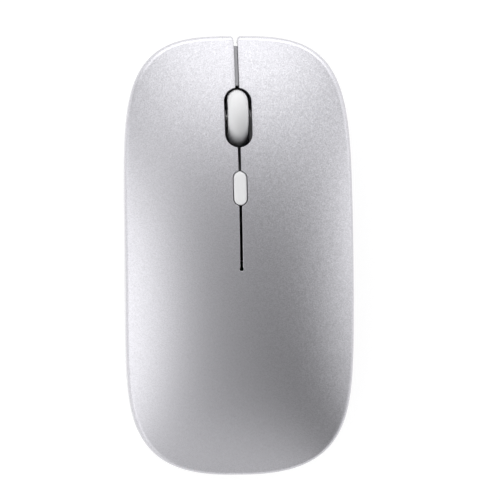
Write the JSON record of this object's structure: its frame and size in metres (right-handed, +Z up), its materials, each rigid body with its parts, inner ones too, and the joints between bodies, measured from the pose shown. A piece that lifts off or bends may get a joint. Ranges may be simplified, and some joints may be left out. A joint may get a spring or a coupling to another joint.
{
  "type": "computer mouse",
  "caption": "Slim silver wireless mouse: a low domed cover slit into two flexing buttons, with a scroll wheel and a slot-shaped middle button.",
  "frame": {"origin": "on the desk under the middle of the outline", "axes": "+Y towards the front (the wheel end), +X to the user's right, +Z up"},
  "size_m": [0.059, 0.114, 0.0246],
  "materials": {
    "cover": "satin silver paint with a fine metal flake under a clear coat",
    "base": "moulded silver-grey plastic, satin",
    "dark": "moulded black plastic, matte",
    "cap": "moulded pale grey plastic, satin",
    "tread": "soft pale grey elastomer, smooth",
    "carrier": "moulded mid grey plastic",
    "steel": "plain steel",
    "board": "green solder mask on glass-fibre board",
    "chip": "black moulded epoxy",
    "switch": "black moulded switch case",
    "plunger": "white moulded plastic",
    "foil": "laminated foil pouch",
    "lead": "soft red insulation",
    "ir": "dark tinted epoxy",
    "lens": "clear moulded lens",
    "glide": "low-friction fluoropolymer sheet",
    "label": "blank printed film"
  },
  "bodies": {
    "root": {"palm_cover": "cover", "base_shell": "base", "dpi_guide": "dark", "left_switch_body": "switch", "right_switch_body": "switch", "wheel_switch_body": "switch", "dpi_switch_body": "switch", "main_board": "board", "mcu_chip": "chip", "crystal": "steel", "board_parts": "chip", "ir_emitter": "ir", "ir_detector": "ir", "sensor_chip": "chip", "sensor_lens": "lens", "charging_port": "steel", "port_tongue": "dark", "battery_cell": "foil", "battery_header": "plunger", "battery_plug": "plunger", "battery_leads": "lead", "power_switch_body": "switch", "front_foot": "glide", "rear_foot": "glide", "label_plate": "label", "case_screws": "steel", "board_screws": "steel"},
    "left_finger": {"left_button": "cover"},
    "right_finger": {"right_button": "cover"},
    "carrier": {"wheel_carrier": "carrier", "carrier_pin": "steel"},
    "wheel": {"wheel_tyre": "tread", "wheel_hub": "carrier", "wheel_axle": "steel"},
    "dpi_cap": {"dpi_button": "cap"},
    "slider": {"power_slider": "dark"},
    "left_plunger": {"left_switch_plunger": "plunger"},
    "right_plunger": {"right_switch_plunger": "plunger"},
    "wheel_plunger": {"wheel_switch_plunger": "plunger"},
    "dpi_plunger": {"dpi_switch_plunger": "plunger"}
  },
  "joints": [
    {"name": "left_button_press", "type": "hinge", "parent": "root", "child": "left_finger", "pos_m": [-0.015, 0.002, 0.02], "axis": [-1, 0, 0], "range_deg": [0, 0.85], "stiffness_Nm_per_rad": 2, "springref_deg": -0.57},
    {"name": "right_button_press", "type": "hinge", "parent": "root", "child": "right_finger", "pos_m": [0.015, 0.002, 0.02], "axis": [-1, 0, 0], "range_deg": [0, 0.85], "stiffness_Nm_per_rad": 2, "springref_deg": -0.57},
    {"name": "wheel_click", "type": "hinge", "parent": "root", "child": "carrier", "pos_m": [0, 0.022, 0.009], "axis": [-1, 0, 0], "range_deg": [0, 2.15], "stiffness_Nm_per_rad": 0.35, "springref_deg": -1.15},
    {"name": "wheel_turn", "type": "hinge", "parent": "carrier", "child": "wheel", "pos_m": [0, 0.0356, 0.0117], "axis": [1, 0, 0], "continuous": true},
    {"name": "dpi_press", "type": "slide", "parent": "root", "child": "dpi_cap", "axis": [0, 0, -1], "range_m": [0, 0.0004], "stiffness_N_per_m": 1500, "springref_m": -0.0002},
    {"name": "power_slide", "type": "slide", "parent": "root", "child": "slider", "axis": [1, 0, 0], "range_m": [0, 0.0026]},
    {"name": "left_plunger_slide", "type": "slide", "parent": "root", "child": "left_plunger", "axis": [0, 0, -1], "range_m": [0, 0.0005]},
    {"name": "right_plunger_slide", "type": "slide", "parent": "root", "child": "right_plunger", "axis": [0, 0, -1], "range_m": [0, 0.0005]},
    {"name": "wheel_plunger_slide", "type": "slide", "parent": "root", "child": "wheel_plunger", "axis": [0, 0, -1], "range_m": [0, 0.0005]},
    {"name": "dpi_plunger_slide", "type": "slide", "parent": "root", "child": "dpi_plunger", "axis": [0, 0, -1], "range_m": [0, 0.0004]}
  ],
  "couplings": [
    {"joint": "left_plunger_slide", "follows": "left_button_press", "m_per_rad": 0.031},
    {"joint": "right_plunger_slide", "follows": "right_button_press", "m_per_rad": 0.031},
    {"joint": "wheel_plunger_slide", "follows": "wheel_click", "m_per_rad": 0.011},
    {"joint": "dpi_plunger_slide", "follows": "dpi_press", "ratio": 1}
  ]
}
